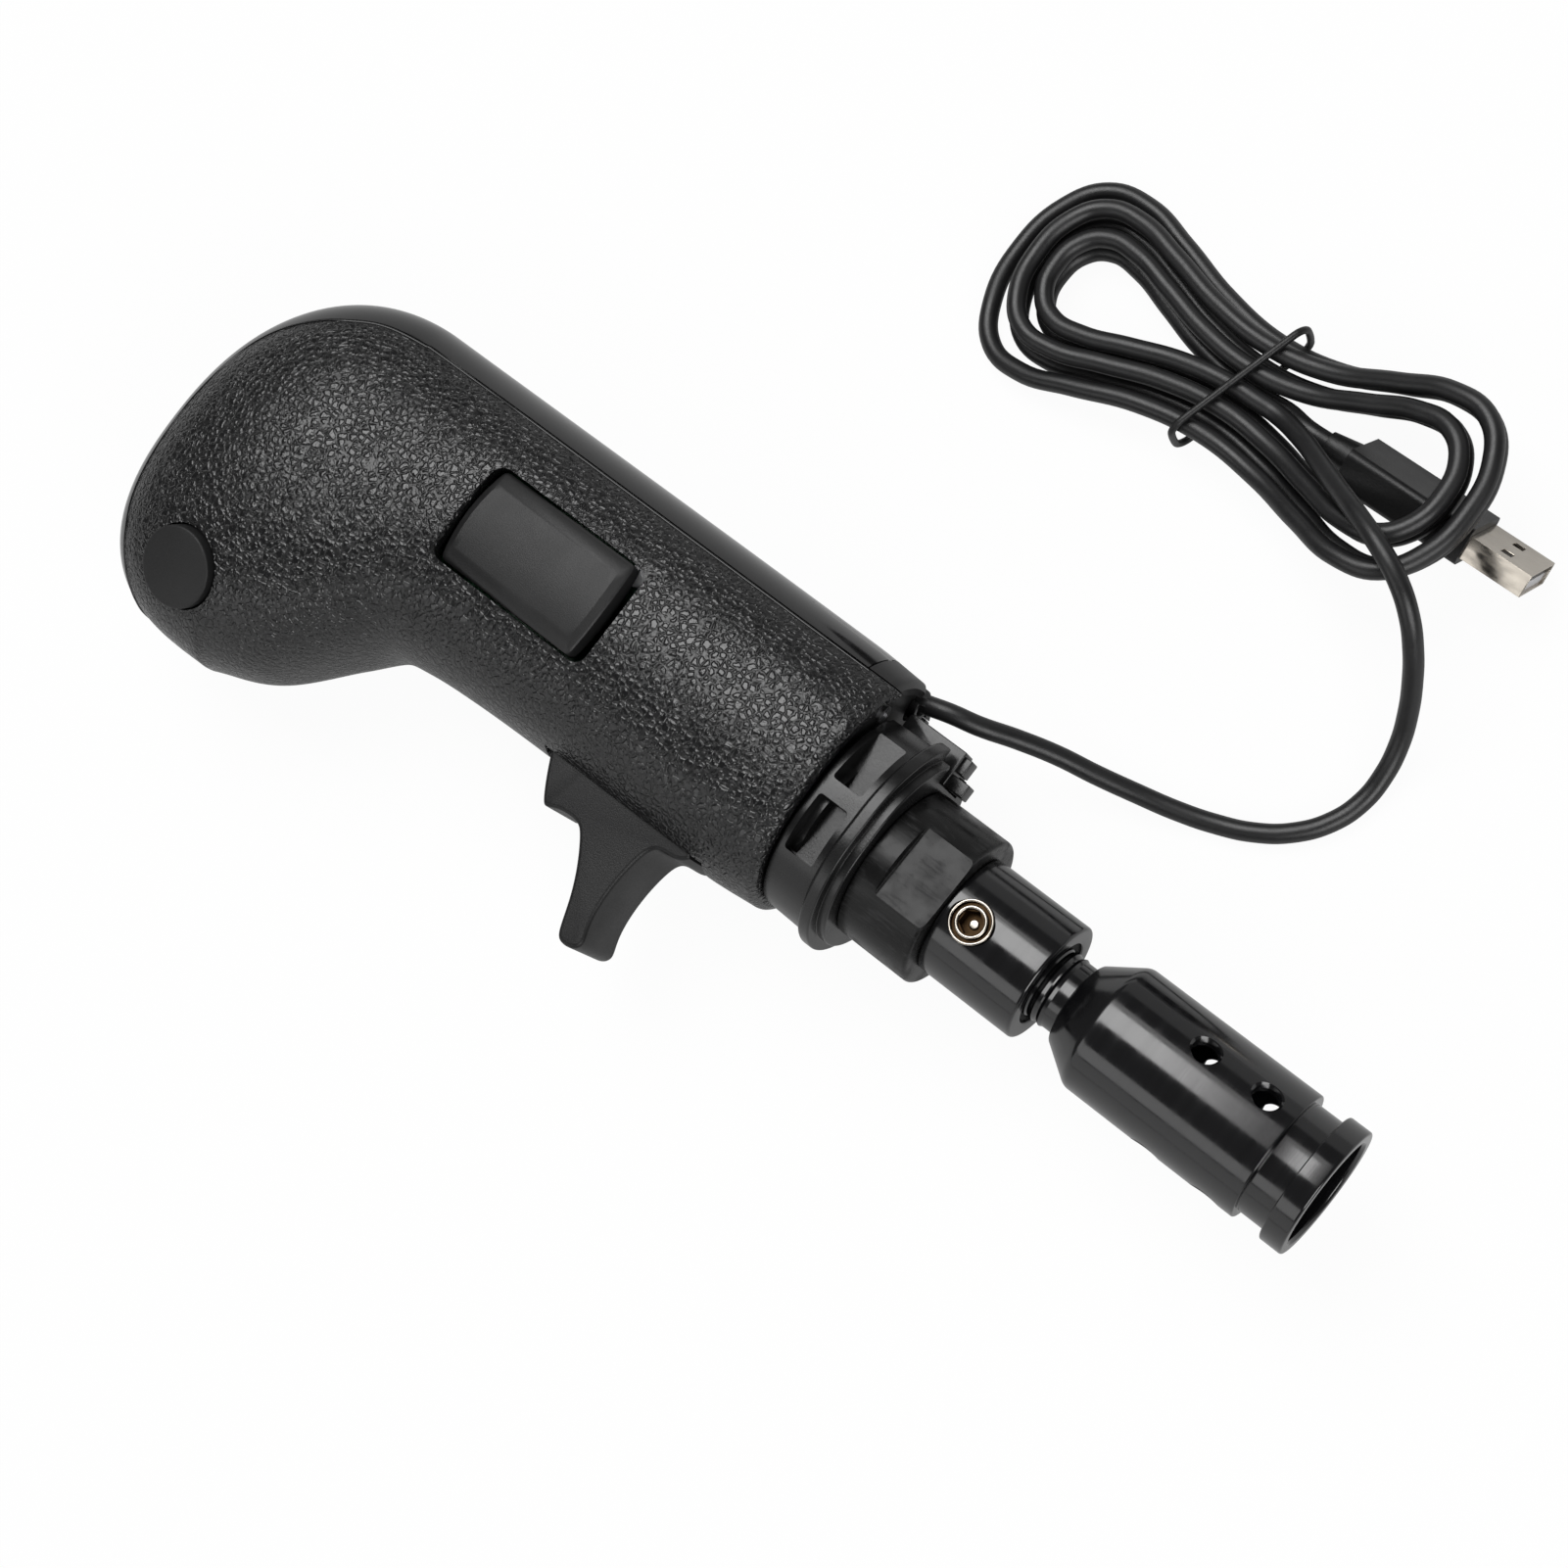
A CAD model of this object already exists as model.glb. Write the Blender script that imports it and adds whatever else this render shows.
import math

import bmesh
import bpy
from mathutils import Matrix, Vector
from mathutils.geometry import intersect_point_line


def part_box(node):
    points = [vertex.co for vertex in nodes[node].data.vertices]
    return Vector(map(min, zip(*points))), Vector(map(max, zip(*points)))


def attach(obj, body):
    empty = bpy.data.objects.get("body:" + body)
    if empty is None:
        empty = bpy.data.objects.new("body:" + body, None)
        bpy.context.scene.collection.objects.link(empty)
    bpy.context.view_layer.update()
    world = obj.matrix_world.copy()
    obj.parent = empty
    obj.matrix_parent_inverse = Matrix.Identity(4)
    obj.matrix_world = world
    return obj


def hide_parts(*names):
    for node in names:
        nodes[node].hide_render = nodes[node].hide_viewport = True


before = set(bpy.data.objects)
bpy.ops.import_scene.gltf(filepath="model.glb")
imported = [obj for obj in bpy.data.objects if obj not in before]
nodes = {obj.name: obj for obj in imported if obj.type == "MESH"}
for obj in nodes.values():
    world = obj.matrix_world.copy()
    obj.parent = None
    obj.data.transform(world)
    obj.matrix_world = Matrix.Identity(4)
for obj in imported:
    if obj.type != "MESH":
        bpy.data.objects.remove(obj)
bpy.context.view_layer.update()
MM = 0.001
scene = bpy.context.scene


def mouth_of(node):
    """Height of a node's lower end above the bore's mouth, in millimetres."""
    return -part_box(node)[1].x / MM


# Places read from the frame, in millimetres along the shaft or from its axis
BARREL_Z = mouth_of("barrel")
NUT_Z = mouth_of("clamp_nut")
COLLAR_Z = mouth_of("lock_collar")
GRIP_Z = mouth_of("grip_shell")
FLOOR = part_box("grip_shell")[0].z / MM
ADAPTER_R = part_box("adapter")[1].y / MM
BARREL_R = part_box("barrel")[1].y / MM
NUT_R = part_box("clamp_nut")[1].y / MM


def standing(f, l, h):
    """A point given by front, left and height above the bore's mouth, in the frame."""
    return Vector((-h, -f, l)) * MM


def linked(name, data):
    """A new object in the scene."""
    obj = bpy.data.objects.new(name, data)
    scene.collection.objects.link(obj)
    return obj


# Camera
CAMERA_AT = Vector((0.0529, -0.0006, 0.4834))
CAMERA_RIGHT = Vector((0.7488, 0.6074, -0.2652))
CAMERA_UP = Vector((-0.5725, 0.7944, 0.2027))
LENS = 66.33
SENSOR = 36


def make_camera():
    camera = linked("camera", bpy.data.cameras.new("camera"))
    back = CAMERA_RIGHT.cross(CAMERA_UP).normalized()
    turn = Matrix((CAMERA_RIGHT, CAMERA_UP, back)).transposed()
    camera.matrix_world = Matrix.Translation(CAMERA_AT) @ turn.to_4x4()
    camera.data.lens = LENS
    camera.data.sensor_width = SENSOR
    camera.data.clip_start = 0.01
    scene.camera = camera


make_camera()


# Shared curve helpers
def ramp(s):
    """A soft step from nought to one as s goes from nought to one."""
    c = max(0.0, min(1.0, s))
    return c * c * (3 - 2 * c)


def row(table, x):
    """Index of the table's row that x follows."""
    i = 0
    while i < len(table) - 2 and x >= table[i + 1][0]:
        i += 1
    return i


def linear_at(table, x):
    i = row(table, x)
    (x0, y0), (x1, y1) = table[i], table[i + 1]
    return y0 + (y1 - y0) * (x - x0) / (x1 - x0)


def slope(table, i):
    a = max(i - 1, 0)
    b = min(i + 1, len(table) - 1)
    return (table[b][1] - table[a][1]) / (table[b][0] - table[a][0])


def curve_at(table, x):
    """Smooth curve through a table of (place, value) rows."""
    i = row(table, x)
    (x0, y0), (x1, y1) = table[i], table[i + 1]
    h = x1 - x0
    s = (x - x0) / h
    m = slope(table, i) * h
    n = slope(table, i + 1) * h
    rise = y0 * (1 + 2 * s) * (1 - s) ** 2 + y1 * s * s * (3 - 2 * s)
    return rise + m * s * (1 - s) ** 2 - n * s * s * (1 - s)


def spline(points, steps):
    """Points along a smooth curve through the given ones."""
    n = len(points)
    made = []
    for i in range(n - 1):
        p = [points[max(0, min(n - 1, i + k))] for k in (-1, 0, 1, 2)]
        for k in range(steps):
            t = k / steps
            made.append(tuple(
                0.5 * (2 * b + (c - a) * t + (2 * a - 5 * b + 4 * c - d) * t * t
                       + (3 * b - a - 3 * c + d) * t ** 3)
                for a, b, c, d in zip(*p)))
    made.append(tuple(points[-1]))
    return made


def angles(n):
    """The angles of n even steps round a circle."""
    return [2 * math.pi * i / n for i in range(n)]


def round_rect(l, w, r, steps=8):
    """Outline of a rectangle with round corners, about its middle."""
    points = []
    for c, (sx, sy) in enumerate(((1, 1), (-1, 1), (-1, -1), (1, -1))):
        for i in range(steps + 1):
            a = math.pi / 2 * (c + i / steps)
            points.append((sx * (l / 2 - r) + r * math.cos(a), sy * (w / 2 - r) + r * math.sin(a)))
    return points


# Cable: the lead from the grip, the tied hank and the tail to the plug, in millimetres
CABLE_D = 3.7
CABLE_Z = FLOOR + CABLE_D / 2
STRAIGHT = 1.2 * CABLE_D
EXIT_F = -25.9
EXIT_L = -2.2
EXIT_U = -1
EXIT_LEAN = math.radians(15.5)
LEAD_START = (-GRIP_Z - EXIT_U, -EXIT_F, EXIT_L)
LEAD_ROWS = [
    (-97.2, 28.4, -4.1), (-91.5, 30.7, -8), (-84.8, 32.9, -12), (-77.8, 34.4, -15.2), (-70.8, 36.1, -17.8),
    (-63.6, 37.9, -19.6), (-56.8, 40.1, CABLE_Z), (-50.3, 42.9, CABLE_Z), (-44.7, 46.9, CABLE_Z),
    (-40.4, 52.4, CABLE_Z), (-38.3, 58.4, CABLE_Z + 0.1), (-37.9, 64.2, CABLE_Z + 1.4),
    (-38.5, 69.6, CABLE_Z + 4), (-39.8, 74.4, CABLE_Z + 8.2), (-41.6, 78.6, CABLE_Z + 13.2),
    (-43.9, 82.4, CABLE_Z + 18.2), (-47.1, 86, CABLE_Z + 22.5), (-51.6, 89.3, CABLE_Z + 25),
    (-57.4, 92.2, CABLE_Z + 25.4), (-64.2, 95.1, CABLE_Z + 23), (-71.2, 98, CABLE_Z + 18.8),
    (-78.2, 101.1, CABLE_Z + 14), (-84.8, 103.8, CABLE_Z + 9.9)]
HANK_MID = (-100.5, 106.5)
HANK_HALF_L = 52.6
HANK_END_STEP = 4.3
HANK_WAIST = 1
HANK_WAIST_STEP = 4.6
HANK_SWELL = 20
HANK_SWELL_STEP = 5
HANK_LAYER = 4.8
HANK_LOOPS = 4.5
UPPER_LOOPS = 2
STEP_DOWN = 0.2
HANK_RINGS = 24
# Loops laid so far, and how far out the cable then lies
HANK_REACH = [(0, 0), (1, 1), (UPPER_LOOPS, 2.25), (2.25, 2.5), (3, 1.5), (HANK_LOOPS, 0)]
WIDEST_REACH = max(reach for _, reach in HANK_REACH)
WAIST_LIFT = 2.2
WAIST_LIFT_X = -150
WAIST_LIFT_RUN = 35
PLUG_LIFT = 13
PLUG_LIFT_X = -95
PLUG_LIFT_RUN = 40
PLUG_BACK_X = -81
PLUG_MID = (HANK_MID[1], FLOOR + 7.4)
TAIL_STEP = (4.5, 0.1, 0.2)
TAIL_BEND = (-91, 107.6, PLUG_MID[1] - 2.1)


def hank_lift(x):
    """How far the hank rises off the table, at its waist and towards the plug."""
    waist = WAIST_LIFT * ramp((x - WAIST_LIFT_X) / WAIST_LIFT_RUN)
    return waist + PLUG_LIFT * ramp((x - PLUG_LIFT_X) / PLUG_LIFT_RUN)


def hank_point(t):
    """The cable's place after t loops of the hank."""
    reach = linear_at(HANK_REACH, t)
    a = math.radians(270 - 360 * t)
    x = HANK_MID[0] + (HANK_HALF_L - HANK_END_STEP * (WIDEST_REACH - reach)) * math.cos(a)
    swell = (HANK_SWELL + HANK_SWELL_STEP * reach) * math.cos(a) ** 2
    y = HANK_MID[1] + math.sin(a) * (HANK_WAIST + HANK_WAIST_STEP * reach + swell)
    upper = 1 - ramp((t - UPPER_LOOPS) / STEP_DOWN)
    return (x, y, CABLE_Z + hank_lift(x) + HANK_LAYER * upper)


def cable_route():
    start = hank_point(0)
    end = hank_point(HANK_LOOPS)
    first = (start[0] + STRAIGHT, start[1], start[2])
    away = (LEAD_START[0] + STRAIGHT * math.cos(EXIT_LEAN),
            LEAD_START[1] + STRAIGHT * math.sin(EXIT_LEAN), EXIT_L)
    lead = [LEAD_START, away, *LEAD_ROWS, (first[0] + STRAIGHT, first[1], first[2]), first]
    loops = [hank_point(i / HANK_RINGS) for i in range(int(HANK_LOOPS * HANK_RINGS) + 1)]
    leave = tuple(c + step for c, step in zip(end, TAIL_STEP))
    tail = [leave, TAIL_BEND, (PLUG_BACK_X - STRAIGHT, *PLUG_MID), (PLUG_BACK_X, *PLUG_MID)]
    return lead + loops + tail


def tube_curve(name, points, radius, cyclic=False):
    """A smooth round tube through points given in millimetres."""
    data = bpy.data.curves.new(name, "CURVE")
    data.dimensions = "3D"
    # A bevel of one, scaled by each point's radius, keeps the curve's own box true
    data.bevel_depth = 1
    data.bevel_resolution = 6
    data.resolution_u = 8
    data.use_fill_caps = True
    line = data.splines.new("BEZIER")
    line.bezier_points.add(len(points) - 1)
    line.use_cyclic_u = cyclic
    for knot, p in zip(line.bezier_points, points):
        knot.co = Vector(p) * MM
        knot.radius = radius * MM
        knot.handle_left_type = "AUTO"
        knot.handle_right_type = "AUTO"
    return linked(name, data)


def route_length(points):
    return sum((Vector(b) - Vector(a)).length for a, b in zip(points, points[1:])) * MM


TIE_D = 1.4
TIE_LEAN = 0.3
TIE_GAP = 0.3
TIE_STEPS = 5


def tie_route():
    """A loop with round corners about the hank's waist."""
    bend = CABLE_D / 2 + TIE_GAP + TIE_D / 2
    half_w = HANK_WAIST + HANK_WAIST_STEP * linear_at(HANK_REACH, UPPER_LOOPS) + TIE_GAP
    mid_z = CABLE_Z + hank_lift(HANK_MID[0]) + HANK_LAYER / 2
    loop = round_rect(2 * (half_w + bend), HANK_LAYER + 2 * bend, bend, TIE_STEPS)
    return [(HANK_MID[0] + TIE_LEAN * y, HANK_MID[1] + y, mid_z + z) for y, z in loop]


cable = tube_curve("cable", cable_route(), CABLE_D / 2)
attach(cable, "grip")
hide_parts("cable_lead", "cable_hank")
tie = tube_curve("tie", tie_route(), TIE_D / 2, cyclic=True)
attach(tie, "grip")
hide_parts("cable_tie")
route_length(cable_route())


# Materials
class Shader:
    """A principled material and short ways to add procedural detail to it."""

    def __init__(self, name, color, roughness, **sockets):
        self.material = bpy.data.materials.new(name)
        self.material.use_nodes = True
        self.tree = self.material.node_tree
        self.shader = self.tree.nodes["Principled BSDF"]
        self.place = self.add("ShaderNodeTexCoord").outputs["Object"]
        constants = {"Base Color": (*color, 1), "Roughness": roughness, **sockets}
        for socket, value in constants.items():
            self.shader.inputs[socket.replace("_", " ")].default_value = value

    def add(self, kind, inputs=None, **values):
        """A new node with its settings, its constants and the outputs linked to it."""
        node = self.tree.nodes.new(kind)
        for key, value in values.items():
            setattr(node, key, value)
        for key, value in (inputs or {}).items():
            if isinstance(value, bpy.types.NodeSocket):
                self.link(value, node.inputs[key])
            else:
                node.inputs[key].default_value = value
        return node

    def link(self, output, target):
        self.tree.links.new(output, target)

    def noise(self, scale, detail=2.0, stretch=(1, 1, 1), distortion=0.0):
        move = self.add("ShaderNodeMapping", {"Vector": self.place, "Scale": stretch})
        place = move.outputs["Vector"]
        inputs = {"Vector": place, "Scale": scale, "Detail": detail, "Distortion": distortion}
        return self.add("ShaderNodeTexNoise", inputs).outputs["Fac"]

    def creases(self, scale, warp_scale, warp, width):
        """Zero in a network of wandering creases, one on the pebbles between them."""
        wander = self.add("ShaderNodeTexNoise", {"Vector": self.place, "Scale": warp_scale, "Detail": 2})
        inputs = {0: wander.outputs["Color"], 1: (warp,) * 3, 2: self.place}
        shift = self.add("ShaderNodeVectorMath", inputs, operation="MULTIPLY_ADD")
        inputs = {"Vector": shift.outputs["Vector"], "Scale": scale}
        cells = self.add("ShaderNodeTexVoronoi", inputs, feature="DISTANCE_TO_EDGE")
        return self.span(cells.outputs["Distance"], 0.0, 1.0, 0.0, width, "SMOOTHSTEP")

    def span(self, source, low, high, start=0.3, end=0.7, kind="LINEAR"):
        """Maps a texture's range start..end onto low..high."""
        inputs = {"Value": source, "From Min": start, "From Max": end, "To Min": low, "To Max": high}
        return self.add("ShaderNodeMapRange", inputs, interpolation_type=kind).outputs["Result"]

    def math(self, operation, a, b):
        return self.add("ShaderNodeMath", {0: a, 1: b}, operation=operation).outputs["Value"]

    def color(self, factor, low, high):
        """Mixes two colours; the mix node's colour sockets are 6 and 7 in and 2 out."""
        node = self.add("ShaderNodeMix", {0: factor, 6: (*low, 1), 7: (*high, 1)}, data_type="RGBA")
        self.link(node.outputs[2], self.shader.inputs["Base Color"])

    def roughness(self, source):
        self.link(source, self.shader.inputs["Roughness"])

    def bump(self, height, depth, strength=1.0):
        node = self.add("ShaderNodeBump", {"Height": height, "Distance": depth, "Strength": strength})
        self.link(node.outputs["Normal"], self.shader.inputs["Normal"])


def leather_material():
    """Moulded leather: glossy pebbles about a millimetre and a half wide between narrow creases."""
    s = Shader("grained_grip", (0.006, 0.006, 0.0064), 0.2, Specular_IOR_Level=0.68)
    large = s.creases(740, 560, 0.0016, 0.27)
    small = s.creases(1500, 1000, 0.0007, 0.2)
    pebble = s.math("MULTIPLY", large, s.span(small, 0.93, 1.0, 0.0, 1.0))
    swell = s.noise(430, detail=1)
    s.bump(s.math("ADD", pebble, s.math("MULTIPLY", swell, 0.12)), 0.00014, 1.0)
    s.roughness(s.math("ADD", s.span(pebble, 0.32, 0.17, 0.0, 1.0), s.span(swell, -0.02, 0.03)))
    s.color(pebble, (0.004, 0.004, 0.0042), (0.0065, 0.0065, 0.007))
    return s.material


def gloss_material():
    """Polished moulding with the faintest waviness and haze."""
    s = Shader("gloss_cover", (0.004, 0.004, 0.0043), 0.1, Specular_IOR_Level=0.5)
    s.roughness(s.span(s.noise(90, detail=4), 0.07, 0.13))
    s.color(s.noise(300, detail=2), (0.003, 0.003, 0.0033), (0.006, 0.006, 0.0063))
    s.bump(s.noise(60, detail=2), 0.0003, 0.04)
    return s.material


def matte_material(name, shade, rough, grain=4200, depth=0.00005, tint=(1, 1, 1.02), gleam=0.5):
    """Finely sparked moulding, a little uneven in tone."""
    color = tuple(shade * t for t in tint)
    s = Shader(name, color, rough, Specular_IOR_Level=gleam)
    fine = s.noise(grain, detail=2)
    broad = s.noise(110, detail=4)
    s.bump(fine, depth, 0.6)
    s.roughness(s.math("ADD", s.span(fine, rough - 0.03, rough + 0.03), s.span(broad, -0.04, 0.05)))
    s.color(broad, tuple(c * 0.8 for c in color), tuple(c * 1.25 for c in color))
    return s.material


def scuffed_material(name, shade, rough):
    """Worn moulding: uneven sheen with light scratches."""
    s = Shader(name, (shade,) * 3, rough, Specular_IOR_Level=0.25)
    scratch = s.noise(900, detail=6, stretch=(0.25, 2.2, 2.2), distortion=0.6)
    patch = s.noise(260, detail=6)
    worn = s.math("MULTIPLY", s.span(scratch, 0, 1, 0.5, 0.66), s.span(patch, 0, 1, 0.44, 0.62))
    s.color(worn, (shade,) * 3, (shade * 4, shade * 4, shade * 4.1))
    sheen = s.span(patch, rough - 0.08, rough + 0.14)
    s.roughness(s.math("ADD", sheen, s.math("MULTIPLY", worn, 0.3)))
    s.bump(scratch, 0.00003, 0.3)
    return s.material


def anodised_material():
    """Turned and black anodised: faint tool rings across the shaft."""
    s = Shader("anodised_black", (0.004, 0.004, 0.0045), 0.16, Specular_IOR_Level=0.85)
    rings = s.noise(1.0, detail=3, stretch=(9000, 40, 40))
    smear = s.noise(1.0, detail=4, stretch=(500, 60, 60))
    s.bump(rings, 0.000012, 0.3)
    s.roughness(s.math("ADD", s.span(rings, 0.1, 0.16), s.span(smear, -0.03, 0.05)))
    s.color(smear, (0.003, 0.003, 0.0034), (0.006, 0.006, 0.0068))
    return s.material


def metal_material(name, color, rough, stretch=(1, 1, 1)):
    s = Shader(name, color, rough, Metallic=1.0)
    streak = s.noise(700, detail=4, stretch=stretch)
    patch = s.noise(220, detail=3)
    s.roughness(s.span(streak, rough - 0.08, rough + 0.1))
    s.color(patch, tuple(c * 0.82 for c in color), tuple(min(1, c * 1.08) for c in color))
    s.bump(streak, 0.00002, 0.3)
    return s.material


def jacket_material():
    """Satin cable jacket with faint handling marks."""
    s = Shader("cable_jacket", (0.010, 0.010, 0.0105), 0.4, Specular_IOR_Level=0.6)
    fine = s.noise(2600, detail=2)
    smear = s.noise(130, detail=4)
    s.roughness(s.math("ADD", s.span(fine, 0.34, 0.42), s.span(smear, -0.03, 0.06)))
    s.color(smear, (0.008, 0.008, 0.0085), (0.013, 0.013, 0.0135))
    s.bump(fine, 0.00003, 0.35)
    return s.material


def board_material():
    s = Shader("board_green", (0.03, 0.16, 0.07), 0.4, Specular_IOR_Level=0.5)
    s.color(s.span(s.noise(600, detail=5), 0, 1, 0.45, 0.6), (0.02, 0.12, 0.05), (0.05, 0.2, 0.09))
    s.roughness(s.span(s.noise(2000), 0.34, 0.5))
    return s.material


LEATHER = leather_material()
GLOSS = gloss_material()
SATIN = matte_material("satin_control", 0.012, 0.46)
RUBBER = matte_material("button_rubber", 0.008, 0.55)
LEVER = matte_material("lever_plastic", 0.010, 0.42, gleam=0.34)
MATTE = matte_material("matte_band", 0.010, 0.42)
COLLAR = matte_material("collar_plastic", 0.009, 0.24, grain=3000, depth=0.00002)
NUT = scuffed_material("nut_plastic", 0.008, 0.24)
ANODISED = anodised_material()
NICKEL = metal_material("nickel", (0.60, 0.55, 0.48), 0.16, (0.3, 1, 1))
BRASS = metal_material("socket_brass", (0.05, 0.03, 0.015), 0.4)
STEEL = metal_material("steel", (0.55, 0.55, 0.56), 0.32)
JACKET = jacket_material()
TIE = matte_material("tie_rubber", 0.007, 0.4)
OVERMOULD = matte_material("plug_overmould", 0.009, 0.4)
INNER = matte_material("inner_grey", 0.02, 0.5)
SWITCH = matte_material("switch_black", 0.03, 0.45)
IVORY = matte_material("switch_ivory", 0.7, 0.45)
BOARD = board_material()
WIRE = matte_material("wire_red", 0.4, 0.45, tint=(1, 0.1, 0.08))

cable.data.materials.append(JACKET)
tie.data.materials.append(TIE)


# Meshes
def put(name, mesh, material, body, slot, *replaced):
    """Links a finished mesh as a piece that rides on a body and stands for CAD nodes."""
    obj = linked(name, mesh)
    mesh.materials.clear()
    mesh.materials.append(material)
    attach(obj, body)
    if replaced:
        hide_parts(*replaced)
    return obj


def mesh_of(name, verts, faces):
    mesh = bpy.data.meshes.new(name)
    mesh.from_pydata([Vector(v) for v in verts], [], faces)
    bm = bmesh.new()
    bm.from_mesh(mesh)
    bmesh.ops.remove_doubles(bm, verts=bm.verts, dist=1e-7)
    bmesh.ops.recalc_face_normals(bm, faces=bm.faces)
    bm.to_mesh(mesh)
    bm.free()
    return mesh


def band(k, m, n):
    """Faces between rings k and m of n points each."""
    return [[k * n + i, k * n + (i + 1) % n, m * n + (i + 1) % n, m * n + i] for i in range(n)]


def skin_faces(rings, n):
    """Faces of rings of n points each, closed at both ends."""
    faces = [list(range(n)), [(rings - 1) * n + i for i in reversed(range(n))]]
    for k in range(rings - 1):
        faces += band(k, k + 1, n)
    return faces


def evaluated(obj):
    """The mesh that an object's modifiers make; the object goes."""
    bpy.context.view_layer.update()
    made = bpy.data.meshes.new_from_object(obj.evaluated_get(bpy.context.evaluated_depsgraph_get()))
    bpy.data.objects.remove(obj)
    return made


def cut(mesh, other, operation="DIFFERENCE"):
    """The mesh with the other one taken off it, or the space that both share."""
    body = linked("cut_body", mesh)
    tool = linked("cut_tool", other)
    step = body.modifiers.new("cut", "BOOLEAN")
    step.operation = operation
    step.solver = "MANIFOLD"
    step.object = tool
    made = evaluated(body)
    bpy.data.objects.remove(tool)
    return made


def joined(name, *meshes):
    """Several meshes side by side in one."""
    bm = bmesh.new()
    for mesh in meshes:
        bm.from_mesh(mesh)
    made = bpy.data.meshes.new(name)
    bm.to_mesh(made)
    bm.free()
    return made


def shade(mesh, angle=22):
    mesh.shade_smooth()
    mesh.set_sharp_from_angle(angle=math.radians(angle))
    return mesh


def rounded(corners, steps=6):
    """A closed outline whose corners (x, y, reach) are rounded over their reach."""
    made = []
    for i, (x, y, *reach) in enumerate(corners):
        if not reach:
            made.append((x, y))
            continue
        p = Vector((x, y))
        to_last = Vector(corners[i - 1][:2]) - p
        to_next = Vector(corners[(i + 1) % len(corners)][:2]) - p
        length = min(reach[0], 0.48 * to_last.length, 0.48 * to_next.length)
        a = p + to_last.normalized() * length
        b = p + to_next.normalized() * length
        for k in range(steps + 1):
            t = k / steps
            made.append(tuple(a * (1 - t) ** 2 + p * (2 * t * (1 - t)) + b * t * t))
    return made


def turned(name, profile, place, steps=144):
    """A closed outline of (radius, height) points turned round an axis."""
    verts = []
    faces = []
    for k, a in enumerate(angles(steps)):
        verts += [place(r * math.cos(a), r * math.sin(a), h) for r, h in profile]
        faces += band(k, (k + 1) % steps, len(profile))
    return mesh_of(name, verts, faces)


def prism(name, outline, low, high, to_world, flare=None):
    """An outline of (a, b) points, extruded from low to high, where it may take another outline."""
    verts = [to_world(a, b, low) for a, b in outline]
    verts += [to_world(a, b, high) for a, b in flare or outline]
    return mesh_of(name, verts, skin_faces(2, len(outline)))


def distance_to(outline, p):
    """Least distance from a point to a closed outline."""
    p = Vector(p)
    least = []
    for a, b in zip(outline, outline[1:] + outline[:1]):
        share = intersect_point_line(p, a, b)[1]
        near = Vector(a).lerp(Vector(b), max(0.0, min(1.0, share)))
        least.append((near - p).length)
    return min(least)


def inset_line(outline, inset):
    """A closed outline moved inwards by an inset; points that would cross join the nearest that do not."""
    n = len(outline)
    area = sum(outline[i - 1][0] * outline[i][1] - outline[i][0] * outline[i - 1][1] for i in range(n))
    side = math.copysign(1, area) * inset
    moved = []
    for i, p in enumerate(outline):
        before = (Vector(p) - Vector(outline[i - 1])).normalized()
        after = (Vector(outline[(i + 1) % n]) - Vector(p)).normalized()
        reach = (before + after) / max(0.5, 1 + before.dot(after))
        moved.append((p[0] - reach.y * side, p[1] + reach.x * side))
    clear = [i for i in range(n) if distance_to(outline, moved[i]) > 0.96 * abs(inset) - 1e-6]
    return [moved[min(clear, key=lambda j: min((i - j) % n, (j - i) % n))] for i in range(n)]


def soft_prism(name, outline, low, high, radius, to_world, steps=4):
    """An outline of (a, b) points, extruded, with both its rims rounded."""
    rims = []
    for k in range(steps + 1):
        a = math.pi / 2 * k / steps
        rims.append((radius * (1 - math.sin(a)), radius * (1 - math.cos(a))))
    layers = [(inset, low + depth) for inset, depth in rims]
    layers += [(inset, high - depth) for inset, depth in reversed(rims)]
    verts = [to_world(x, y, c) for inset, c in layers for x, y in inset_line(outline, inset)]
    return mesh_of(name, verts, skin_faces(len(layers), len(outline)))


def box_mesh(name, low, high, to_world):
    corners = [(low[0], low[1]), (high[0], low[1]), (high[0], high[1]), (low[0], high[1])]
    return prism(name, corners, low[2], high[2], to_world)


def circle(r, steps=96):
    return [(r * math.cos(a), r * math.sin(a)) for a in angles(steps)]


# Place functions
def beside(f, h, l):
    """Front, height and left, for outlines drawn in the middle plane."""
    return standing(f, l, h)


def across_grip(f, u, l):
    """Front, height above the grip's lower edge and left."""
    return standing(f, l, GRIP_Z + u)


def outward(turn, h):
    """Places about a radial line of the shaft: across it, up the shaft and out from the axis."""
    s = math.sin(math.radians(turn))
    c = math.cos(math.radians(turn))

    def place(a, b, out):
        return standing(a * c - out * s, a * s + out * c, h + b)

    return place


# Adapter
BORE_R = 10
BORE_DEPTH = 44
BORE_CHAMFER = 0.5
FLANGE_L = 4.4
GROOVE_R = ADAPTER_R - 1.5
BODY_Z = 9.9
CONE_Z = 45.4
CONE_END_R = 8
NECK_Z = 52.1
NECK_R = 6.7
STUD_R = 7
STUD_TOP = BARREL_Z + 19
STUD_RIDGES = (BARREL_Z - 2.6, BARREL_Z - 1.1)
RIDGE_HALF = 0.6
CLAMP_ROWS = (15.8, 28.2)
CLAMP_TURNS = (33, 153, 273)
CLAMP_R = 2.5
CLAMP_PITCH = 1
THREAD = 0.35
HOLE_START = BORE_R - 2
HOLE_RIDGES_END = ADAPTER_R - 0.7
HOLE_MOUTH = ADAPTER_R - 0.45
HOLE_MOUTH_R = CLAMP_R + 1.6
HOLE_END = ADAPTER_R + 1.2


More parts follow.
